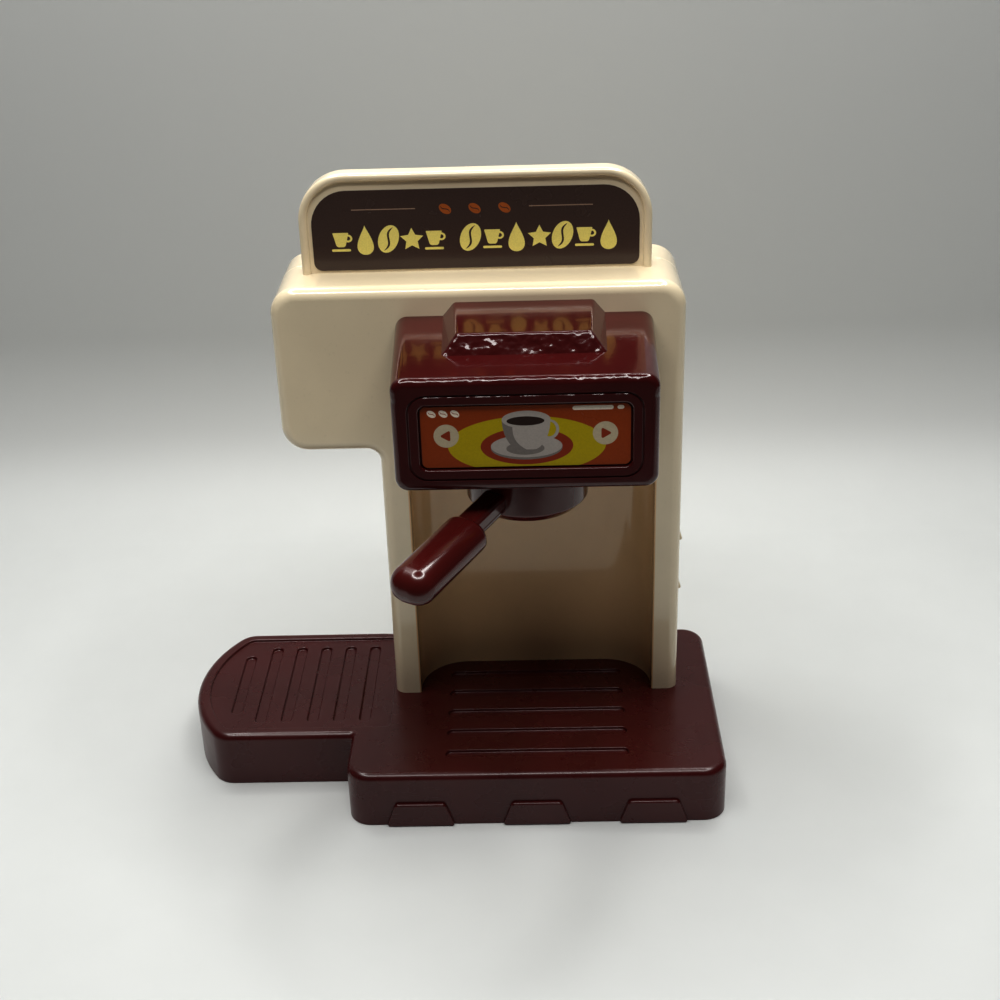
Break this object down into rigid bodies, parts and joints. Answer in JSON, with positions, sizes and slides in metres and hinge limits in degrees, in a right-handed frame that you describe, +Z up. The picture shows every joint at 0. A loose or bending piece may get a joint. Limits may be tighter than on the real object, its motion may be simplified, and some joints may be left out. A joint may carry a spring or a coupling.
{
  "type": "toy coffee maker",
  "caption": "Toy coffee maker: a column with an arm and a sign on a grooved base, a brewing head with a press-in display, and a portafilter that turns and drops out.",
  "frame": {"origin": "on the table, in the base's flat underside, directly under the group axis (the upright middle line of the portafilter bowl)", "axes": "+X to the right seen from the front, +Y to the back, +Z up"},
  "size_m": [0.2035, 0.1329, 0.2243],
  "materials": {
    "cream_plastic": "glossy moulded ABS, cream",
    "burgundy_plastic": "glossy moulded ABS, burgundy, faint orange peel",
    "black_plastic": "moulded, satin",
    "zinc_steel": "zinc plated",
    "sign_print": "printed and laminated sticker, dark brown",
    "display_print": "printed and laminated sticker, orange",
    "board_laminate": "solder-masked laminate",
    "cell_sleeve": "sleeved cell"
  },
  "bodies": {
    "root": {"base_tray": "burgundy_plastic", "base_bottom_plate": "burgundy_plastic", "base_screws": "zinc_steel", "column_screws": "zinc_steel", "front_housing": "cream_plastic", "rear_housing": "cream_plastic", "housing_screws": "zinc_steel", "sign_board": "cream_plastic", "sign_label": "sign_print", "sign_screws": "zinc_steel", "head_cover": "burgundy_plastic", "head_screws": "zinc_steel", "lock_ring_retainer": "cream_plastic", "retainer_screws": "zinc_steel", "button_springs": "zinc_steel", "circuit_board": "board_laminate", "board_screws": "zinc_steel", "tact_switch": "black_plastic", "sound_chip": "black_plastic", "speaker": "black_plastic", "battery_cells": "cell_sleeve", "battery_contacts": "zinc_steel", "power_switch_body": "zinc_steel", "switch_screws": "zinc_steel"},
    "lock_ring": {"lock_ring": "black_plastic"},
    "portafilter": {"portafilter_bowl": "burgundy_plastic", "handle_upper_shell": "burgundy_plastic", "handle_lower_shell": "burgundy_plastic", "handle_screws": "zinc_steel"},
    "display": {"display_button": "burgundy_plastic", "display_label": "display_print"},
    "battery_door": {"battery_door": "cream_plastic", "battery_door_screw": "zinc_steel"},
    "power_switch": {"power_switch_knob": "black_plastic"}
  },
  "joints": [
    {"name": "handle_turn", "type": "hinge", "parent": "root", "child": "lock_ring", "pos_m": [0, 0, 0.138], "axis": [0, 0, 1], "range_deg": [-12, 32]},
    {"name": "portafilter_drop", "type": "slide", "parent": "lock_ring", "child": "portafilter", "axis": [0, 0, -1], "range_m": [0, 0.04]},
    {"name": "display_press", "type": "slide", "parent": "root", "child": "display", "axis": [0, 1, 0], "range_m": [0, 0.0012], "stiffness_N_per_m": 600, "springref_m": -0.0003, "deforming": ["button_springs"]},
    {"name": "battery_door_pull", "type": "slide", "parent": "root", "child": "battery_door", "axis": [0, 1, 0], "range_m": [0, 0.03]},
    {"name": "power_switch_slide", "type": "slide", "parent": "root", "child": "power_switch", "axis": [0, 0, 1], "range_m": [0, 0.003]}
  ]
}
